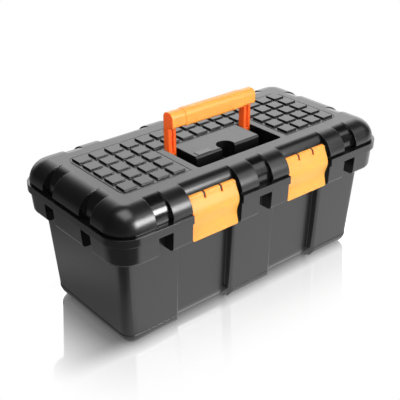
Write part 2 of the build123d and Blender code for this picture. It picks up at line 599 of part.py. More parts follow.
def make_tray():
    """Lift-out tray: end tabs on the tub's ledges, moulded cells and a spine to lift it by."""
    top = TRAY_SEAT_Z + TRAY_TAB_THICKNESS
    floor_z = top - TRAY_DEPTH
    width = TRAY_REAR_Y - TRAY_FRONT_Y
    middle = (TRAY_FRONT_Y + TRAY_REAR_Y) / 2
    centre = Pos(0, middle, floor_z)
    tray = centre * extrude(Pos(0, 0, TRAY_DEPTH) * RectangleRounded(TRAY_LENGTH, width, TRAY_CORNER),
                            -TRAY_DEPTH, taper=DRAFT)
    tray = fillet(tray.edges().group_by(Axis.Z)[0], TRAY_EDGE_ROUND)
    tray += upright(TRAY_TAB_LENGTH, TRAY_TAB_WIDTH, TRAY_TAB_CORNER, TRAY_SEAT_Z, top)
    slope = TRAY_DEPTH * SLOPE
    inner_x = TRAY_LENGTH / 2 - slope - 2 * TRAY_WALL
    spine = TRAY_SPINE / 2
    rows = ((TRAY_FRONT_Y + slope + 2 * TRAY_WALL, middle - spine, TRAY_FRONT_CELLS),
            (middle + spine, TRAY_REAR_Y - slope - 2 * TRAY_WALL, TRAY_REAR_CELLS))
    for front, rear, cells in rows:
        pitch = (2 * inner_x + TRAY_WALL) / cells
        for k in range(cells):
            low_x = -inner_x + k * pitch
            cell = Pos(low_x + (pitch - TRAY_WALL) / 2, (front + rear) / 2, floor_z + TRAY_WALL)
            hole = extrude(RectangleRounded(pitch - TRAY_WALL, rear - front, TRAY_EDGE_ROUND), TRAY_DEPTH)
            tray -= cell * fillet(hole.edges().group_by(Axis.Z)[0], TRAY_EDGE_ROUND - 1)
    crest = top + TRAY_SPINE_RISE
    outline = make_face(Polyline(
        (-TRAY_SPINE_LENGTH / 2 - TRAY_SPINE_RISE, top - 1), (TRAY_SPINE_LENGTH / 2 + TRAY_SPINE_RISE, top - 1),
        (TRAY_SPINE_LENGTH / 2, crest), (-TRAY_SPINE_LENGTH / 2, crest), close=True))
    bar = extrude(Plane.XZ.offset(-middle - spine) * outline, TRAY_SPINE)
    slot = Pos(0, middle, crest - TRAY_SPINE_ROUND - TRAY_SLOT_HEIGHT / 2) * (
        Rot(90, 0, 0) * extrude(RectangleRounded(TRAY_SLOT_LENGTH, TRAY_SLOT_HEIGHT, TRAY_SPINE_ROUND),
                                TRAY_SPINE, both=True))
    return tray + bar - slot


def make_pins():
    """Steel pins of the hinges, latches and handle, each with its node's name."""
    pins = {}
    for name, side in SIDES.items():
        x_mid = side * BAY_PITCH / 2
        hinge = (x_mid - HINGE_WIDTH / 2, x_mid + HINGE_WIDTH / 2)
        pins["hinge_pin_" + name] = rod_x(HINGE_PIN_RADIUS, hinge, HINGE_Y, HINGE_Z)
        latch = (x_mid - LATCH_PIN_LENGTH / 2, x_mid + LATCH_PIN_LENGTH / 2)
        pins["latch_pin_" + name] = rod_x(LATCH_PIN_RADIUS, latch, LATCH_PIN_Y, LATCH_PIN_Z)
        outer = side * (WELL_LENGTH / 2 + BOSS_LENGTH)
        handle = sorted((outer, outer - side * HANDLE_PIN_LENGTH))
        pins["handle_pin_" + name] = rod_x(HANDLE_PIN_RADIUS, handle, PIVOT_Y, PIVOT_Z)
    return pins


def main():
    """Build every piece and write one STEP file for each."""
    os.makedirs("parts", exist_ok=True)
    pieces = {"tub": make_tub(), "lid": make_lid(), "carry_handle": make_handle(), "tray": make_tray()}
    for name, side in SIDES.items():
        pieces["latch_" + name] = make_latch(side * BAY_PITCH / 2)
    pieces.update(make_pins())
    for name, piece in pieces.items():
        export_step(piece, os.path.join("parts", name + ".step"))


main()
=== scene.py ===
# %% [markdown]
# # A moulded toolbox with a tray
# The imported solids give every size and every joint. This lesson dresses them: it rounds the moulded
# edges, gives each plastic its finish, and lights the box on a white table as a product photographer
# would. Everything is in metres, in the frame of the solids, with the latches towards -Y.

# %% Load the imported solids
import math

import bmesh
import bpy
from mathutils import Matrix, Vector
from mathutils.bvhtree import BVHTree


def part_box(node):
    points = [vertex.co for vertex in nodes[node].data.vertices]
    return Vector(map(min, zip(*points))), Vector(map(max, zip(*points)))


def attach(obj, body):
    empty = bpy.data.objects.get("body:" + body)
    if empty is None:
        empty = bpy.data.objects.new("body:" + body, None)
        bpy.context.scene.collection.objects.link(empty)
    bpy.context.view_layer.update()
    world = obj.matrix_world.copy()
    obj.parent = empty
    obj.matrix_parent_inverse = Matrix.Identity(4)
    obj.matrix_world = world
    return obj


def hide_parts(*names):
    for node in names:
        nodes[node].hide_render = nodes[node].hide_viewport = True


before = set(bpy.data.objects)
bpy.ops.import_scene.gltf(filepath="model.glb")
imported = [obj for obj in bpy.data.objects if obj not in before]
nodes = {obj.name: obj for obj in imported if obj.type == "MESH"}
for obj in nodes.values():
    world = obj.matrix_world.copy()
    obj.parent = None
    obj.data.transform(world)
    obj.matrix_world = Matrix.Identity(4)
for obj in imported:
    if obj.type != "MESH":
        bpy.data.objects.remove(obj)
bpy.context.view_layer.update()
scene = bpy.context.scene
scene.view_settings.view_transform = "Standard"
print("solids:", sorted(nodes))

# %% [markdown]
# ## Camera
# The photographer stood in front and to the left of the box and looked down on it. A camera can be turned
# by eye until the picture fits. Here its yaw, pitch, roll and distance were solved from the square pads of
# the lid, which lie on an even grid, so the camera is placed by numbers.

# %% Camera
CAMERA_PLACE = Vector((-0.6809, -0.8009, 0.6747))
CAMERA_YAW = math.radians(39.584)
CAMERA_PITCH = math.radians(28.063)
CAMERA_ROLL = math.radians(-0.469)
FOCAL_PIXELS = 796.04
PHOTO_PIXELS = 400.0
SENSOR_MM = 36.0
FAR_CLIP = 50.0

ahead = Vector((math.sin(CAMERA_YAW) * math.cos(CAMERA_PITCH),
                math.cos(CAMERA_YAW) * math.cos(CAMERA_PITCH),
                -math.sin(CAMERA_PITCH)))
level = Vector((math.cos(CAMERA_YAW), -math.sin(CAMERA_YAW), 0.0))
upward = level.cross(ahead)
right = math.cos(CAMERA_ROLL) * level + math.sin(CAMERA_ROLL) * upward
above = -math.sin(CAMERA_ROLL) * level + math.cos(CAMERA_ROLL) * upward
camera_turn = Matrix((right, above, -ahead)).transposed().to_4x4()

camera_data = bpy.data.cameras.new("photo_camera")
camera_data.sensor_width = SENSOR_MM
camera_data.lens = FOCAL_PIXELS / PHOTO_PIXELS * SENSOR_MM
camera_data.clip_end = FAR_CLIP
camera = bpy.data.objects.new("photo_camera", camera_data)
camera.matrix_world = Matrix.Translation(CAMERA_PLACE) @ camera_turn
scene.collection.objects.link(camera)
scene.camera = camera
print("lens:", round(camera_data.lens, 2), "mm")

# %% [markdown]
# ## Helpers for node trees
# A finish is a small network of nodes. It could be wired by hand in the shader editor. Here a few helpers
# add a node, set its values and wire it to another, so that each finish below reads as a list of what it
# is made of. A wire is named by the node it leaves and that node's output.

# %% Node helpers
def add_node(tree, kind, place=(0, 0), **settings):
    """Add a node and set its own properties."""
    node = tree.nodes.new(kind)
    node.location = place
    for name, value in settings.items():
        setattr(node, name, value)
    return node


def put(node, **values):
    """Set constant values on a node's inputs, by socket name with underscores for spaces."""
    for name, value in values.items():
        node.inputs[name.replace("_", " ")].default_value = value
    return node


def wire(source, output, target, socket):
    """Run a wire from an output of one node to an input of another, by name or by number."""
    source.id_data.links.new(source.outputs[output], target.inputs[socket])


def math_of(operation, place, first, second):
    """Math node on two wires."""
    node = add_node(first[0].id_data, "ShaderNodeMath", place, operation=operation)
    wire(*first, node, 0)
    wire(*second, node, 1)
    return node


def ranged(source, output, place, low=0.0, high=1.0, at_low=0.0, at_high=1.0, smooth=True):
    """Range node that goes from at_low to at_high while its source goes from low to high."""
    node = add_node(source.id_data, "ShaderNodeMapRange", place)
    node.interpolation_type = "SMOOTHSTEP" if smooth else "LINEAR"
    put(node, From_Min=low, From_Max=high, To_Min=at_low, To_Max=at_high)
    wire(source, output, node, "Value")
    return node


def between(place, factor, first, second):
    """Mix node that goes from a first to a second value, each a number or a wire."""
    node = add_node(factor[0].id_data, "ShaderNodeMix", place, data_type="FLOAT")
    wire(*factor, node, "Factor")
    for socket, value in (("A", first), ("B", second)):
        if isinstance(value, tuple):
            wire(*value, node, socket)
        else:
            node.inputs[socket].default_value = value
    return node


def along(source, output, place, direction):
    """How far a point lies along a direction."""
    node = add_node(source.id_data, "ShaderNodeVectorMath", place, operation="DOT_PRODUCT")
    node.inputs[1].default_value = direction
    wire(source, output, node, 0)
    return node


# %% [markdown]
# ## Grain of the mould
# Moulded polypropylene copies the steel of its mould: a very fine grain, and faint marks where the plastic
# flowed. An image of such a surface would repeat and blur, so two noises at their real scales are used.
# They are a node group, which each plastic uses with its own grain size.

# %% Mould grain
def new_group(name, inputs, outputs):
    """Start a shader node group with named numbers going in and coming out."""
    tree = bpy.data.node_groups.new(name, "ShaderNodeTree")
    for socket, value in inputs.items():
        item = tree.interface.new_socket(socket, in_out="INPUT", socket_type="NodeSocketFloat")
        item.default_value = value
    for socket in outputs:
        tree.interface.new_socket(socket, in_out="OUTPUT", socket_type="NodeSocketFloat")
    start = add_node(tree, "NodeGroupInput", (-900, 0))
    end = add_node(tree, "NodeGroupOutput", (700, 0))
    return tree, start, end


def mould_grain_group():
    """Fine grain as a height for the bump, and slow flow marks as a value from 0 to 1."""
    sizes = {"Grain Size": 900.0, "Flow Size": 14.0}
    tree, start, end = new_group("mould grain", sizes, ("Height", "Flow"))
    where = add_node(tree, "ShaderNodeTexCoord", (-900, -250))
    grain = put(add_node(tree, "ShaderNodeTexNoise", (-500, 150)), Detail=2.0, Roughness=0.6)
    flow = add_node(tree, "ShaderNodeTexNoise", (-500, -200))
    put(flow, Detail=3.0, Roughness=0.55, Distortion=0.6)
    for texture, size, result in ((grain, "Grain Size", "Height"), (flow, "Flow Size", "Flow")):
        wire(where, "Object", texture, "Vector")
        wire(start, size, texture, "Scale")
        wire(texture, "Fac", end, result)
    return tree


mould_grain = mould_grain_group()
print("group:", mould_grain.name)

# %% [markdown]
# ## Handling marks
# After some use, the plastic has hairline scratches. They could be drawn as lines, but noise that is
# stretched a long way in one direction and cut to its thin peaks gives the same look everywhere. Two such
# sets, turned against each other, keep the scratches from running one way.

# %% Handling marks
SCRATCH_TURNS = (0.5, -0.9)
SCRATCH_TILT = (1.0, 0.4, 1.3)
SCRATCH_STRETCH = (1.0, 0.04, 1.0)
SCRATCH_ROW = -250


def handling_marks_group():
    """Hairline scratches: two thin sets of stretched noise, as a mask from 0 to 1."""
    sizes = {"Scratch Size": 260.0, "Amount": 0.5}
    tree, start, end = new_group("handling marks", sizes, ("Mask",))
    where = add_node(tree, "ShaderNodeTexCoord", (-1100, -250))
    masks = []
    for step, angle in enumerate(SCRATCH_TURNS):
        row = SCRATCH_ROW * step
        turned = put(add_node(tree, "ShaderNodeMapping", (-900, row)), Scale=SCRATCH_STRETCH)
        put(turned, Rotation=[angle * share for share in SCRATCH_TILT])
        wire(where, "Object", turned, "Vector")
        lines = put(add_node(tree, "ShaderNodeTexNoise", (-650, row)), Detail=1.0)
        wire(turned, "Vector", lines, "Vector")
        wire(start, "Scratch Size", lines, "Scale")
        peaks = ranged(lines, "Fac", (-400, row), low=0.66, high=0.72)
        masks.append((peaks, "Result"))
    both = math_of("MAXIMUM", (-150, -100), *masks)
    scaled = math_of("MULTIPLY", (100, -100), (both, "Value"), (start, "Amount"))
    wire(scaled, "Value", end, "Mask")
    return tree


handling_marks = handling_marks_group()
print("group:", handling_marks.name)

# %% [markdown]
# ## Colour, polish and relief of a plastic
# A moulding is never one flat colour. Its tone and its roughness wander with the flow marks, and scratches
# are duller. Some faces are marked later as polished, or to carry painted shade, and the finish reads those
# marks. The Bevel node rounds the edges in the normals, which costs no extra faces.

# %% Parts of a plastic finish
SCRATCH_DULLS = 0.25
GRAIN_HEIGHT = 0.00008
EDGE_SAMPLES = 6


def plastic_tone(tree, surface, dark, light, painted_shade):
    """Two close tones mixed by the flow marks, and a deeper red painted on the marked faces as shade."""
    tone = add_node(tree, "ShaderNodeMix", (-500, 250), data_type="RGBA")
    put(tone, A=(*dark, 1.0), B=(*light, 1.0))
    wire(surface, "Flow", tone, "Factor")
    if not painted_shade:
        return tone
    # Painted shade: the marked faces get a deeper red, which stands in for the shade on them and the light
    # showing through them.
    sides = add_node(tree, "ShaderNodeAttribute", (-500, 500), attribute_name="painted_shade")
    redder = put(add_node(tree, "ShaderNodeMix", (-250, 300), data_type="RGBA"), B=(*painted_shade, 1.0))
    wire(sides, "Fac", redder, "Factor")
    wire(tone, "Result", redder, "A")
    return redder


def plastic_roughness(tree, surface, scratch, roughness, spread, polish):
    """Roughness that wanders with the flow marks, with polished faces and dull scratches."""
    rough = ranged(surface, "Flow", (-600, -50), at_low=roughness - spread, at_high=roughness + spread,
                   smooth=False)
    if polish:
        smooth = add_node(tree, "ShaderNodeAttribute", (-850, -400), attribute_name="polish")
        rough = between((-450, -150), (smooth, "Fac"), (rough, "Result"), polish)
    rougher = add_node(tree, "ShaderNodeMath", (-350, -100), operation="MULTIPLY_ADD")
    rougher.inputs[1].default_value = SCRATCH_DULLS
    wire(scratch, "Mask", rougher, 0)
    wire(rough, "Result", rougher, 2)
    return rougher


def plastic_relief(tree, surface, bump, edge):
    """Fine bump of the grain, on normals that are rounded at the edges."""
    relief = put(add_node(tree, "ShaderNodeBump", (-350, -350)), Strength=bump, Distance=GRAIN_HEIGHT)
    soft_edge = put(add_node(tree, "ShaderNodeBevel", (-600, -450), samples=EDGE_SAMPLES), Radius=edge)
    wire(soft_edge, "Normal", relief, "Normal")
    wire(surface, "Height", relief, "Height")
    return relief


# %% [markdown]
# ## Plastic finishes
# The shell is jet black: almost all the grey that the eye sees on it is the studio mirrored in its
# polish, so its colour stays very dark and its gloss is strong. The handle and the latches are orange
# polypropylene, which lets a little light through. A plain orange would look like paint, so they scatter
# light below the surface. The tray is a duller, coarser grey.

# %% Plastic materials
SCRATCH_AMOUNT = 0.1
GLOW_RADIUS = (1.0, 0.22, 0.05)
GLOW_DEPTH = 0.008


def plastic(name, dark, light, roughness, spread, bump, specular, edge, grain=900.0, glow=0.0,
            polish=None, painted_shade=None):
    """Moulded plastic between two close tones, with grain, flow marks and scratches."""
    material = bpy.data.materials.new(name)
    material.use_nodes = True
    tree = material.node_tree
    shader = tree.nodes["Principled BSDF"]
    surface = add_node(tree, "ShaderNodeGroup", (-900, 100), node_tree=mould_grain)
    put(surface, Grain_Size=grain)
    scratch = add_node(tree, "ShaderNodeGroup", (-900, -200), node_tree=handling_marks)
    put(scratch, Amount=SCRATCH_AMOUNT)
    tone = plastic_tone(tree, surface, dark, light, painted_shade)
    wire(tone, "Result", shader, "Base Color")
    rough = plastic_roughness(tree, surface, scratch, roughness, spread, polish)
    wire(rough, "Value", shader, "Roughness")
    relief = plastic_relief(tree, surface, bump, edge)
    wire(relief, "Normal", shader, "Normal")
    put(shader, Specular_IOR_Level=specular)
    if glow:
        put(shader, Subsurface_Weight=glow, Subsurface_Radius=GLOW_RADIUS, Subsurface_Scale=GLOW_DEPTH)
    return material


black_shell = plastic(
    "black satin plastic", dark=(0.0025, 0.0025, 0.0026), light=(0.0045, 0.0045, 0.0047),
    roughness=0.3, spread=0.02, bump=0.035, specular=1.0, edge=0.0011, polish=0.18)
# The orange's last colour is painted shade, put on its sides and arms.
orange_grip = plastic(
    "orange satin plastic", dark=(0.94, 0.32, 0.05), light=(0.97, 0.36, 0.065),
    roughness=0.38, spread=0.03, bump=0.12, specular=0.5, edge=0.0016, glow=0.7, painted_shade=(1.0, 0.14, 0.018))
tray_grey = plastic(
    "dark grey tray plastic", dark=(0.016, 0.016, 0.018), light=(0.022, 0.022, 0.024),
    roughness=0.45, spread=0.04, bump=0.3, specular=0.5, edge=0.0008, grain=600.0)
print("plastics:", [finish.name for finish in (black_shell, orange_grip, tray_grey)])

# %% [markdown]
# ## Steel of the pins
# The pins are cut from drawn wire, so their brushing runs round them as fine rings along X. Noise that is
# squeezed along X gives the rings. The solids of the pins are already right, so they stay and only get
# this finish.

# %% Steel material
RING_SCALE = (2500.0, 60.0, 60.0)
STEEL_DARK = (0.50, 0.50, 0.51, 1.0)
STEEL_LIGHT = (0.70, 0.70, 0.70, 1.0)


def drawn_steel():
    """Bright wire with fine drawing rings."""
    material = bpy.data.materials.new("drawn steel wire")
    material.use_nodes = True
    tree = material.node_tree
    shader = put(tree.nodes["Principled BSDF"], Metallic=1.0)
    where = add_node(tree, "ShaderNodeTexCoord", (-1000, 0))
    squeezed = put(add_node(tree, "ShaderNodeMapping", (-800, 0)), Scale=RING_SCALE)
    wire(where, "Object", squeezed, "Vector")
    rings = put(add_node(tree, "ShaderNodeTexNoise", (-600, 0)), Scale=1.0, Detail=2.0)
    wire(squeezed, "Vector", rings, "Vector")
    tone = put(add_node(tree, "ShaderNodeMix", (-300, 150), data_type="RGBA"), A=STEEL_DARK, B=STEEL_LIGHT)
    wire(rings, "Fac", tone, "Factor")
    wire(tone, "Result", shader, "Base Color")
    rough = ranged(rings, "Fac", (-300, -100), at_low=0.22, at_high=0.40, smooth=False)
    wire(rough, "Result", shader, "Roughness")
    return material


steel_wire = drawn_steel()
pins = [name for name in nodes if "_pin_" in name]
for name in pins:
    nodes[name].data.materials.clear()
    nodes[name].data.materials.append(steel_wire)
print("steel pins:", len(pins))

# %% [markdown]
# ## Ball corners of the tub
# On the real tub the upright corners are as round as the foot, so each lower corner is part of a ball. The
# solid's corners are tighter. A bevel can't widen an edge that is already round, so each point of a corner
# is drawn in along its own spoke, from the solid's outline to the wider curve. First come the two outlines,
# at any height of the leaning wall.

# %% Outlines of a tub corner
DRAFT_SLOPE = math.tan(math.radians(3.1))
TUB_END = 0.2188
TUB_SIDE = 0.0903
TUB_CORNER = 0.011
FOOT_ROUND = 0.018
FOOT_BAND = 0.0186
FOOT_STEP = 0.0005


def corner_place(z):
    """Distance of the ball corner's axis from the middle of the tub, along X and Y, at a height."""
    inward = FOOT_ROUND - DRAFT_SLOPE * z - (FOOT_STEP if z < FOOT_BAND else 0.0)
    return TUB_END - inward, TUB_SIDE - inward


def foot_inset(z):
    """How far the rounded foot lies inside the leaning wall at a height."""
    drop = FOOT_ROUND - z
    if drop <= 0.0:
        return 0.0
    flat = FOOT_ROUND * math.hypot(1.0, DRAFT_SLOPE) - DRAFT_SLOPE * drop
    curve = math.sqrt(max(FOOT_ROUND ** 2 - drop ** 2, 0.0))
    return max(flat - curve, 0.0)


def solid_reach(angle, inset):
    """Distance from the ball corner's axis to the solid's outline, which has a smaller corner."""
    longest = max(math.cos(angle), math.sin(angle))
    shift = FOOT_ROUND - TUB_CORNER
    nearer = shift * (math.cos(angle) + math.sin(angle))
    rounded = nearer + math.sqrt(max(nearer ** 2 - 2.0 * shift ** 2 + TUB_CORNER ** 2, 0.0))
    return min((FOOT_ROUND - inset) / longest, rounded)


print("axis of a corner at the foot:", [round(1000.0 * place, 1) for place in corner_place(0.0)], "mm")

# %% [markdown]
# The wide flat triangles of the wall have no points where the new curve needs them, so upright cuts are
# fanned out from the axis first. Points outside the wall belong to the collar's rounding, and points well
# inside it and high up belong to the shelf that carries the tray. Both stay where they are.

# %% Round the tub's corners
CORNER_SPOKES = (0, 90, 45, 22.5, 67.5)
COLLAR_LOW = 0.1420
SHELF_LOW = 0.095
WALL_PLAY = 0.0009
POINT_PLAY = 1e-5
AXIS_PLAY = 1e-6


def corner_geometry(shape, side_x, side_y):
    """Faces below the collar that reach into one corner, with their points and edges."""
    chosen = set()
    for face in shape.faces:
        if max(vert.co.z for vert in face.verts) >= COLLAR_LOW:
            continue
        for vert in face.verts:
            far_x, far_y = corner_place(vert.co.z)
            if side_x * vert.co.x > far_x + POINT_PLAY and side_y * vert.co.y > far_y + POINT_PLAY:
                chosen.update([face, *face.verts, *face.edges])
                break
    return list(chosen)


def cut_corner(shape, side_x, side_y):
    """Add upright edges to one corner of the tub, fanned out from the ball corner's axis."""
    far_x, far_y = corner_place(0.0)
    axis = Vector((side_x * far_x, side_y * far_y, 0.0))
    lean = Vector((side_x * DRAFT_SLOPE, side_y * DRAFT_SLOPE, 1.0))
    for degrees in CORNER_SPOKES:
        angle = math.radians(degrees)
        spoke = Vector((side_x * math.cos(angle), side_y * math.sin(angle), 0.0))
        bmesh.ops.bisect_plane(shape, geom=corner_geometry(shape, side_x, side_y), dist=AXIS_PLAY,
                               plane_co=axis, plane_no=spoke.cross(lean))


def round_tub_corners(shape):
    """Give the tub's upright corners the radius of its foot, so that each lower corner is a ball."""
    for side_x in (-1, 1):
        for side_y in (-1, 1):
            cut_corner(shape, side_x, side_y)
    moved = 0
    for vert in shape.verts:
        far_x, far_y = corner_place(vert.co.z)
        over_x, over_y = abs(vert.co.x) - far_x, abs(vert.co.y) - far_y
        if vert.co.z > COLLAR_LOW or min(over_x, over_y) < AXIS_PLAY:
            continue
        inset = foot_inset(vert.co.z)
        reach = solid_reach(math.atan2(over_y, over_x), inset)
        depth = reach - math.hypot(over_x, over_y)
        if depth < -WALL_PLAY or (depth > WALL_PLAY and vert.co.z > SHELF_LOW):
            continue
        share = (FOOT_ROUND - inset) / reach
        vert.co.x = math.copysign(far_x + share * over_x, vert.co.x)
        vert.co.y = math.copysign(far_y + share * over_y, vert.co.y)
        moved += 1
    print("corner points moved:", moved)


# %% [markdown]
# ## Crisp pads of the lid
# The lid's square tread pads stand on an even grid, and their steep sides catch the light. They could be
# added as blocks, but they are one skin with the lid. So the points at each pad's foot and top edge are
# found by their distance from the pad's middle, and moved: the foot a little inward, the top inward and up.

# %% Stand the pads up
LID_TOP = 0.2168
PAD_PITCH = 0.026
PAD_FIELD = (0.194, 0.064)
PAD_NEAR = 0.0098
PAD_FAR = 0.0109
PAD_FOOT = 0.0100
PAD_TOP = 0.0096
PAD_STEP = 0.001
PAD_RISE = 0.0009


def crisp_pads(shape):
    """Stand the lid's pads a little higher, with steeper sides and wider gaps between them."""
    moved = 0
    for vert in shape.verts:
        x, y, z = vert.co
        off_x = x - PAD_PITCH * round(x / PAD_PITCH)
        off_y = y - PAD_PITCH * round(y / PAD_PITCH)
        reach = max(abs(off_x), abs(off_y))
        off_field = max(abs(x) / PAD_FIELD[0], abs(y) / PAD_FIELD[1]) > 1.0
        if off_field or z < LID_TOP - POINT_PLAY or not PAD_NEAR < reach < PAD_FAR:
            continue
        on_top = z > LID_TOP + PAD_STEP
        change = (PAD_TOP if on_top else PAD_FOOT) / reach - 1.0
        rise = PAD_RISE if on_top else 0.0
        vert.co = (x + change * off_x, y + change * off_y, z + rise)
        moved += 1
    print("pad points moved:", moved)


# %% [markdown]
# ## Dressed copies of the mouldings
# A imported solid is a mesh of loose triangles. Each moulding gets a copy whose corners are welded and
# whose flat triangles are joined, with smooth shading that breaks only at the real edges. A subdivision
# surface would melt the crisp edges, so weighted normals are used instead: they keep flat faces flat right
# up to a rounding beside them.

# %% Copy the mouldings
WELD = 3e-6
TUB_WELD = 2e-5
FLAT_ANGLE = math.radians(0.2)
SHARP_ANGLE = math.radians(24.0)


def weld(shape, distance):
    """Join points that lie together, and drop what that leaves without a size."""
    bmesh.ops.remove_doubles(shape, verts=shape.verts, dist=distance)
    bmesh.ops.dissolve_degenerate(shape, edges=shape.edges, dist=distance)


def new_piece(name, shape):
    """Put a finished shape into the scene as a piece."""
    mesh = bpy.data.meshes.new(name)
    shape.to_mesh(mesh)
    shape.free()
    piece = bpy.data.objects.new(name, mesh)
    scene.collection.objects.link(piece)
    return piece


def freeze(piece):
    """Turn a piece's modifiers into its mesh."""
    graph = bpy.context.evaluated_depsgraph_get()
    mesh = bpy.data.meshes.new_from_object(piece.evaluated_get(graph))
    old = piece.data
    piece.modifiers.clear()
    piece.data = mesh
    bpy.data.meshes.remove(old)
    mesh.name = piece.name
    return piece


def moulded_copy(name):
    """Welded copy of a solid with smooth shading between its sharp edges, as a plain mesh."""
    shape = bmesh.new()
    shape.from_mesh(nodes[name].data)
    weld(shape, WELD)
    if name == "tub":
        round_tub_corners(shape)
        weld(shape, TUB_WELD)
    if name == "lid":
        crisp_pads(shape)
    bmesh.ops.dissolve_limit(shape, angle_limit=FLAT_ANGLE, verts=shape.verts, edges=shape.edges)
    for edge in shape.edges:
        edge.smooth = len(edge.link_faces) == 2 and edge.calc_face_angle(0.0) < SHARP_ANGLE
    for face in shape.faces:
        face.smooth = True
    piece = new_piece(name + "_moulded", shape)
    shading = piece.modifiers.new("weighted normals", "WEIGHTED_NORMAL")
    shading.keep_sharp = True
    return freeze(piece)


# %% [markdown]
# Every copy then gets its finish and rides on an empty named for the body of its solid. The solid itself is
# hidden, so the copy stands in its place.

# %% Dress the mouldings
def dress(piece, body, material, node=None):
    """Give a piece its finish, its body and the solid that it stands for."""
    piece.data.materials.clear()
    piece.data.materials.append(material)
    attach(piece, body)
    if node:
        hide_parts(node)
    print(piece.name, "faces:", len(piece.data.polygons), "on", body)
    return piece


for name, body, slot, material in (
        ("tub", "box", "body_plastic", black_shell),
        ("lid", "cover", "body_plastic", black_shell),
        ("tray", "inset_tray", "tray_plastic", tray_grey),
        ("carry_handle", "handle", "orange_plastic", orange_grip),
        ("latch_left", "left_latch", "orange_plastic", orange_grip),
        ("latch_right", "right_latch", "orange_plastic", orange_grip)):
    dress(moulded_copy(name), body, material, name)

# %% [markdown]
# ## Polished grooves, and painted shade on the orange sides
# The mould is polished where it forms the lid's grooves, the lid's rim and the tub's collar, so these
# mirror the lamps sharply while the blocks between them stay satin. The handle's arms and the sides of the
# orange parts are painted a deeper red, which stands in for the shade on them and for light showing through
# the plastic. A second material for each would have to be kept in step with the first, so each face is
# marked once, and its finish reads the mark.

# %% Mark polished faces and faces with painted shade
GROOVE_HALF = 0.0131
GROOVES_ALONG = (-0.1716, 0.0, 0.1716)
GROOVES_ACROSS = (-0.0447, 0.0447)
GROOVE_SIDE = 0.085
GROOVE_END = 0.205
GROOVE_LOW = 0.19
RIM_TOP = 0.1905
GRIP_DEPTH = 0.0235
SLEEVE_END = 0.06
SIDEWAYS = 0.6

grip_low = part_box("carry_handle")[1][2] - GRIP_DEPTH


def lid_polished(face):
    """True on the floor of one of the lid's grooves and on the lid's rim."""
    x, y, z = face.center
    beside = any(abs(x - middle) < GROOVE_HALF for middle in GROOVES_ALONG) and abs(y) > GROOVE_SIDE
    at_end = any(abs(y - middle) < GROOVE_HALF for middle in GROOVES_ACROSS) and abs(x) > GROOVE_END
    return z < RIM_TOP or z > GROOVE_LOW and (beside or at_end)


def tub_polished(face):
    """True on the tub's collar."""
    return face.center.z > COLLAR_LOW


def handle_painted_shade(face):
    """True on the handle's arms and on the sides of its grip, which get painted shade."""
    end_side = abs(face.normal.x) > SIDEWAYS and abs(face.center.x) > SLEEVE_END
    return face.center.z < grip_low or end_side


def latch_painted_shade(face):
    """True on the sides of a latch, which get painted shade."""
    return abs(face.normal.x) > SIDEWAYS


def mark_faces(piece, attribute, chosen):
    """Give each face of a piece the value 1 or 0 under a name that its finish reads."""
    layer = piece.data.attributes.new(attribute, "FLOAT", "FACE")
    marked = 0
    for face in piece.data.polygons:
        value = 1.0 if chosen(face) else 0.0
        layer.data[face.index].value = value
        marked += int(value)
    print(piece.name, attribute, "faces:", marked)


for name, attribute, chosen in (
        ("lid", "polish", lid_polished),
        ("tub", "polish", tub_polished),
        ("carry_handle", "painted_shade", handle_painted_shade),
        ("latch_left", "painted_shade", latch_painted_shade),
        ("latch_right", "painted_shade", latch_painted_shade)):
    mark_faces(bpy.data.objects[name + "_moulded"], attribute, chosen)

# %% [markdown]
# The shell beside the orange parts stays black in the photograph, with no orange mirrored in it. So the
# orange parts are hidden from reflections. They still cast shadows and pass on their colour as soft light.

# %% Hide the orange from reflections
for name in ("carry_handle", "latch_left", "latch_right"):
    bpy.data.objects[name + "_moulded"].visible_glossy = False
    print(name, "is not mirrored")

# %% [markdown]
# ## Bare plate on the island
# A small raised plate lies on the island beside the thumb notch. It could be cut into the lid's mesh, but
# a slab of its own keeps a clean edge. It has rounded corners and a bevelled top edge, and it is polished
# like the grooves, so it catches a little more light.

# %% Plate
PLATE_X = (-0.052, -0.027)
PLATE_Y = (-0.0385, -0.0265)
PLATE_THICK = 0.0005
PLATE_SINK = 1e-5
PLATE_CORNER = 0.0015
PLATE_BEVEL = 0.0002


def island_plate():
    """Thin bevelled slab that lies on the flat of the island."""
    shape = bmesh.new()
    bmesh.ops.create_cube(shape, size=1.0)
    middle = Vector((sum(PLATE_X) / 2, sum(PLATE_Y) / 2, LID_TOP + PLATE_THICK / 2 - PLATE_SINK))
    size = (PLATE_X[1] - PLATE_X[0], PLATE_Y[1] - PLATE_Y[0], PLATE_THICK)
    bmesh.ops.scale(shape, vec=size, verts=shape.verts)
    bmesh.ops.translate(shape, vec=middle, verts=shape.verts)
    upright = []
    for edge in shape.edges:
        low, high = sorted(vert.co.z for vert in edge.verts)
        if high - low > PLATE_THICK / 2:
            upright.append(edge)
    bmesh.ops.bevel(shape, geom=upright, offset=PLATE_CORNER, segments=5, affect="EDGES", profile=0.5)
    top = [edge for edge in shape.edges if min(vert.co.z for vert in edge.verts) > middle.z]
    bmesh.ops.bevel(shape, geom=top, offset=PLATE_BEVEL, segments=2, affect="EDGES", profile=0.5)
    piece = new_piece("island_plate", shape)
    mark_faces(piece, "polish", lambda face: True)
    return piece


dress(island_plate(), "cover", black_shell)

# %% [markdown]
# ## Ejector marks
# Steel pins push a moulding out of its mould and leave shallow round marks on the hidden side. They repeat,
# so a node tree sets one low disc on every point of a list, which is quicker to change than many separate
# discs.

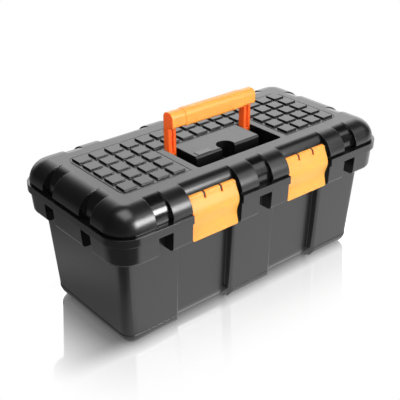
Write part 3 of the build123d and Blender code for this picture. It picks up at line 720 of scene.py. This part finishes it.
# %% Node tree of the marks
def mark_tree():
    """Node tree that sets a low disc on each point, with its sizes and its finish as inputs."""
    tree = bpy.data.node_groups.new("ejector marks", "GeometryNodeTree")
    tree.interface.new_socket("Geometry", in_out="INPUT", socket_type="NodeSocketGeometry")
    for socket, value in (("Mark Radius", 0.004), ("Mark Height", 0.0004)):
        item = tree.interface.new_socket(socket, in_out="INPUT", socket_type="NodeSocketFloat")
        item.default_value = value
    tree.interface.new_socket("Finish", in_out="INPUT", socket_type="NodeSocketMaterial")
    tree.interface.new_socket("Geometry", in_out="OUTPUT", socket_type="NodeSocketGeometry")
    start = add_node(tree, "NodeGroupInput", (-700, 0))
    disc = put(add_node(tree, "GeometryNodeMeshCylinder", (-400, -200)), Vertices=28)
    wire(start, "Mark Radius", disc, "Radius")
    wire(start, "Mark Height", disc, "Depth")
    spread = add_node(tree, "GeometryNodeInstanceOnPoints", (-100, 0))
    wire(start, "Geometry", spread, "Points")
    wire(disc, "Mesh", spread, "Instance")
    real = add_node(tree, "GeometryNodeRealizeInstances", (150, 0))
    wire(spread, "Instances", real, "Geometry")
    finish = add_node(tree, "GeometryNodeSetMaterial", (400, 0))
    wire(real, "Geometry", finish, "Geometry")
    wire(start, "Finish", finish, "Material")
    end = add_node(tree, "NodeGroupOutput", (700, 0))
    wire(finish, "Geometry", end, "Geometry")
    return tree


ejector_tree = mark_tree()
mark_sockets = {}
for item in ejector_tree.interface.items_tree:
    if item.in_out == "INPUT":
        mark_sockets[item.name] = item.identifier
print("inputs of the marks:", sorted(mark_sockets))

# %% [markdown]
# Each point is found by a ray that looks straight down or up for the wall, so that a mark lies on the wall
# and not where a drawing says it should be. The marks of one moulding become one plain mesh that rides
# with it.

# %% Ejector marks
DOWN = Vector((0, 0, -1))
UP = Vector((0, 0, 1))


def ejector_marks(wall, body, material, start_z, look, xs, ys, radius):
    """Low discs on a hidden wall, below or above a row of starting points, as one plain mesh."""
    moulding = bpy.data.objects[wall + "_moulded"]
    search = BVHTree.FromObject(moulding, bpy.context.evaluated_depsgraph_get())
    places = bmesh.new()
    for x in xs:
        for y in ys:
            hit = search.ray_cast(Vector((x, y, start_z)), look)[0]
            if hit:
                places.verts.new(hit)
    piece = new_piece(wall + "_marks", places)
    modifier = piece.modifiers.new("ejector marks", "NODES")
    modifier.node_group = ejector_tree
    modifier[mark_sockets["Mark Radius"]] = radius
    modifier[mark_sockets["Finish"]] = material
    return dress(freeze(piece), body, material)


ejector_marks("tub", "box", black_shell, start_z=0.08, look=DOWN,
              xs=(-0.18, -0.09, 0.0, 0.09, 0.18), ys=(-0.05, 0.05), radius=0.0045)
ejector_marks("lid", "cover", black_shell, start_z=0.195, look=UP,
              xs=(-0.19, -0.11, 0.11, 0.19), ys=(-0.06, 0.0, 0.06), radius=0.004)
ejector_marks("tray", "inset_tray", tray_grey, start_z=0.14, look=DOWN,
              xs=(-0.17, -0.06, 0.06, 0.17), ys=(-0.055, 0.055), radius=0.003)

# %% [markdown]
# ## White table
# The photograph has a white table that runs out to a white background. A bright plain floor would lose the
# shadow, and a lit one would turn grey far out. So the table is a real white surface near the box, where it
# takes the shadow and a faint mirror image, and it turns to plain white further out for the camera. Both
# follow the distance from the box's foot.

# %% Distance from the foot
FOOT_HALF = (0.213, 0.09, 0.0)


def distance_from_foot(where):
    """How far a point of the table lies beyond the box's foot, along each axis and in all."""
    tree = where.id_data
    folded = add_node(tree, "ShaderNodeVectorMath", (-1300, 0), operation="ABSOLUTE")
    wire(where, "Object", folded, 0)
    beyond = add_node(tree, "ShaderNodeVectorMath", (-1100, 0), operation="SUBTRACT")
    beyond.inputs[1].default_value = FOOT_HALF
    wire(folded, "Vector", beyond, 0)
    clipped = add_node(tree, "ShaderNodeVectorMath", (-900, 0), operation="MAXIMUM")
    wire(beyond, "Vector", clipped, 0)
    reach = add_node(tree, "ShaderNodeVectorMath", (-700, 0), operation="LENGTH")
    wire(clipped, "Vector", reach, 0)
    return beyond, reach


# %% [markdown]
# A black polished wall shows the table that stands before it. In reflections the table is not evenly
# bright:
# a lighter stripe is painted into its glow as painted light, where a lamp's pool of light would lie, and
# painted shade darkens it towards the near left corner. A plain white table would wash the black walls out,
# so reflections see these tones instead.

# %% The table as the walls mirror it
STRIPE_ACROSS = (1.0, -0.5, 0.0)
STRIPE_TONES = ((0.18, 0.2), (0.38, 0.42), (0.56, 0.22), (0.69, 0.25))
STRIPE_FIRST = (0.1, 0.1, 0.1, 1.0)
NEAR_CORNER = (-1.1, -0.9, 0.0)
WHITE = (1.0, 1.0, 1.0, 1.0)


def plain_and_painted_table_light(where, mirrored):
    """Light of the plain table: white to the camera, and in reflections a painted light stripe with painted
    shade at one corner.
    """
    tree = where.id_data
    # Painted light: a lighter stripe across the table, seen only in reflections.
    across = along(where, "Object", (-1100, -350), STRIPE_ACROSS)
    painted_stripe = ranged(across, "Value", (-700, -350), low=-0.5, high=-0.1, smooth=False)
    tones = add_node(tree, "ShaderNodeValToRGB", (-500, -350))
    tones.color_ramp.interpolation = "EASE"
    for place, tone in STRIPE_TONES:
        tones.color_ramp.elements.new(place).color = (tone, tone, tone, 1.0)
    tones.color_ramp.elements[0].color = STRIPE_FIRST
    wire(painted_stripe, "Result", tones, "Fac")
    seen = put(add_node(tree, "ShaderNodeMix", (-100, -350), data_type="RGBA"), A=WHITE)
    wire(*mirrored, seen, "Factor")
    wire(tones, "Color", seen, "B")
    # Painted shade: the table's glow is dimmed towards the near left corner in reflections.
    diagonal = along(where, "Object", (-1100, -550), NEAR_CORNER)
    painted_corner_shade = ranged(diagonal, "Value", (-700, -550), low=0.41, high=0.49, at_low=1.0, at_high=0.05)
    strength = between((-100, -550), mirrored, 1.0, (painted_corner_shade, "Result"))
    light = add_node(tree, "ShaderNodeEmission", (100, -300))
    wire(seen, "Result", light, "Color")
    wire(strength, "Result", light, "Strength")
    return light


# %% [markdown]
# The table itself mirrors the box: faintly along the front, and strongly at the ends, where the photograph
# shows the end wall again below the foot. Both images fade with the distance from the foot. One even gloss
# would mirror the front as strongly, so the two are set apart by where they lie.

# %% The box as the table mirrors it
def mirror_share(beyond, reach, camera_ray):
    """How much of a mirror the table is, for the camera alone."""
    front = ranged(reach, "Value", (-500, -50), low=0.02, high=0.13, at_low=0.17, at_high=0.0)
    apart = add_node(beyond.id_data, "ShaderNodeSeparateXYZ", (-900, 300))
    wire(beyond, "Vector", apart, "Vector")
    end_fade = ranged(apart, "X", (-500, 450), low=-0.012, high=0.115, at_low=0.95, at_high=0.0,
                      smooth=False)
    end_width = ranged(apart, "Y", (-500, 700), low=-0.03, high=0.03, at_low=1.0, at_high=0.0)
    end = math_of("MULTIPLY", (50, 350), (end_fade, "Result"), (end_width, "Result"))
    most = math_of("MAXIMUM", (150, 300), (front, "Result"), (end, "Value"))
    return math_of("MULTIPLY", (300, 250), (most, "Value"), camera_ray)


def mix_shaders(place, share, first, second):
    """Mix of two shaders by a share."""
    node = add_node(share[0].id_data, "ShaderNodeMixShader", place)
    wire(*share, node, "Fac")
    wire(*first, node, 1)
    wire(*second, node, 2)
    return node


# %% [markdown]
# The parts come together in one material: a matt white that takes the shadow, the plain light that takes
# over further out and in reflections, with its painted stripe and shade, and the mirror on top.

# %% Table
TABLE_RADIUS = 6.0
TABLE_WHITE = (0.93, 0.93, 0.93, 1.0)
TABLE_POLISH = 0.06
PLAIN_IN_MIRRORS = 0.92


def table_finish():
    """White table top: matt and shaded near the box, plain white to the camera further out."""
    material = bpy.data.materials.new("white table")
    material.use_nodes = True
    tree = material.node_tree
    tree.nodes.remove(tree.nodes["Principled BSDF"])
    where = add_node(tree, "ShaderNodeTexCoord", (-1500, 0))
    beyond, reach = distance_from_foot(where)
    path = add_node(tree, "ShaderNodeLightPath", (-900, -700))
    camera_ray = (path, "Is Camera Ray")
    either = math_of("MAXIMUM", (-500, -700), (path, "Is Glossy Ray"), (path, "Is Transmission Ray"))
    mirrored = (either, "Value")
    in_mirrors = add_node(tree, "ShaderNodeMath", (-300, -600), operation="MULTIPLY")
    in_mirrors.inputs[1].default_value = PLAIN_IN_MIRRORS
    wire(*mirrored, in_mirrors, 0)
    further_out = ranged(reach, "Value", (-500, 200), low=0.0, high=0.14, at_low=0.6, at_high=1.0)
    plain_share = between((-100, 100), camera_ray, (in_mirrors, "Value"), (further_out, "Result"))
    shaded = put(add_node(tree, "ShaderNodeBsdfDiffuse", (100, 0)), Color=TABLE_WHITE)
    plain = plain_and_painted_table_light(where, mirrored)
    matt = mix_shaders((300, 0), (plain_share, "Result"), (shaded, "BSDF"), (plain, "Emission"))
    shine = put(add_node(tree, "ShaderNodeBsdfGlossy", (300, -250)), Color=WHITE, Roughness=TABLE_POLISH)
    share = mirror_share(beyond, reach, camera_ray)
    polished = mix_shaders((500, 0), (share, "Value"), (matt, "Shader"), (shine, "BSDF"))
    wire(polished, "Shader", tree.nodes["Material Output"], "Surface")
    return material


table_top = bmesh.new()
bmesh.ops.create_circle(table_top, cap_ends=True, radius=TABLE_RADIUS, segments=96)
table = new_piece("white_table", table_top)
table.data.materials.append(table_finish())
print("table:", 2.0 * TABLE_RADIUS, "m across")

# %% [markdown]
# ## Lights
# Large soft lamps give the broad, soft highlights of a studio. One hangs over the lid. The strong one in
# front lights the latches and the front wall, and a weak one fills from the right. The one on the left is
# hidden from reflections, so that it lights the end without leaving bright patches on the dome's corners.

# %% Lights
BOX_MIDDLE = (0, 0, 0.15)


def softbox(name, place, target, size, power):
    """Oblong soft light that faces a target."""
    light = bpy.data.lights.new(name, "AREA")
    light.shape = "RECTANGLE"
    light.size, light.size_y = size
    light.energy = power
    lamp = bpy.data.objects.new(name, light)
    lamp.location = place
    lamp.rotation_euler = (Vector(target) - Vector(place)).to_track_quat("-Z", "Y").to_euler()
    scene.collection.objects.link(lamp)
    print(name, power, "W")
    return lamp


softbox("overhead_softbox", place=(-0.32, -0.42, 2.2), target=(-0.32, -0.42, 0),
        size=(1.3, 1.8), power=18.0)
softbox("front_softbox", place=(0.65, -1.9, 1.0), target=BOX_MIDDLE, size=(1.0, 0.8), power=37.0)
left = softbox("left_softbox", place=(-1.9, -1.1, 1.0), target=BOX_MIDDLE, size=(1.6, 1.2), power=18.0)
left.visible_glossy = False
softbox("front_right_softbox", place=(1.4, -1.2, 1.7), target=BOX_MIDDLE, size=(1.1, 0.9), power=3.7)

# %% [markdown]
# ## Studio round the box
# The world stands for the rest of the studio. As light it is an even fill, and to the camera it is white.
# As a reflection it is a white backdrop behind the box and to its right, low enough to be mirrored by the
# flat of the lid, with dark studio above it and on the left, which keeps the sides of the dome black.
# Panels round the box could do the same, but they would cast shadows and show in other views.

# %% World
BACKDROP_SIDE = (0.65, 0.76, 0.0)
FILL_LIGHT = 0.48
CAMERA_WHITE = 1.0


def studio_world():
    """White to the camera, an even fill as light, and a low white backdrop in reflections."""
    world = bpy.data.worlds.new("studio")
    world.use_nodes = True
    tree = world.node_tree
    path = add_node(tree, "ShaderNodeLightPath", (-700, 400))
    where = add_node(tree, "ShaderNodeTexCoord", (-1100, 0))
    facing = along(where, "Generated", (-900, 100), BACKDROP_SIDE)
    side_wall = ranged(facing, "Value", (-700, 100), low=0.60, high=0.88, at_low=0.03, at_high=1.95)
    parts = add_node(tree, "ShaderNodeSeparateXYZ", (-900, -150))
    wire(where, "Generated", parts, "Vector")
    top_edge = ranged(parts, "Z", (-700, -150), low=0.58, high=0.76, at_low=1.0, at_high=0.03)
    mirrored = math_of("MULTIPLY", (-500, 0), (side_wall, "Result"), (top_edge, "Result"))
    fill = between((-300, 100), (path, "Is Diffuse Ray"), (mirrored, "Value"), FILL_LIGHT)
    seen = between((-120, 200), (path, "Is Camera Ray"), (fill, "Result"), CAMERA_WHITE)
    backdrop = put(tree.nodes["Background"], Color=WHITE)
    wire(seen, "Result", backdrop, "Strength")
    return world


scene.world = studio_world()
print("world:", scene.world.name)
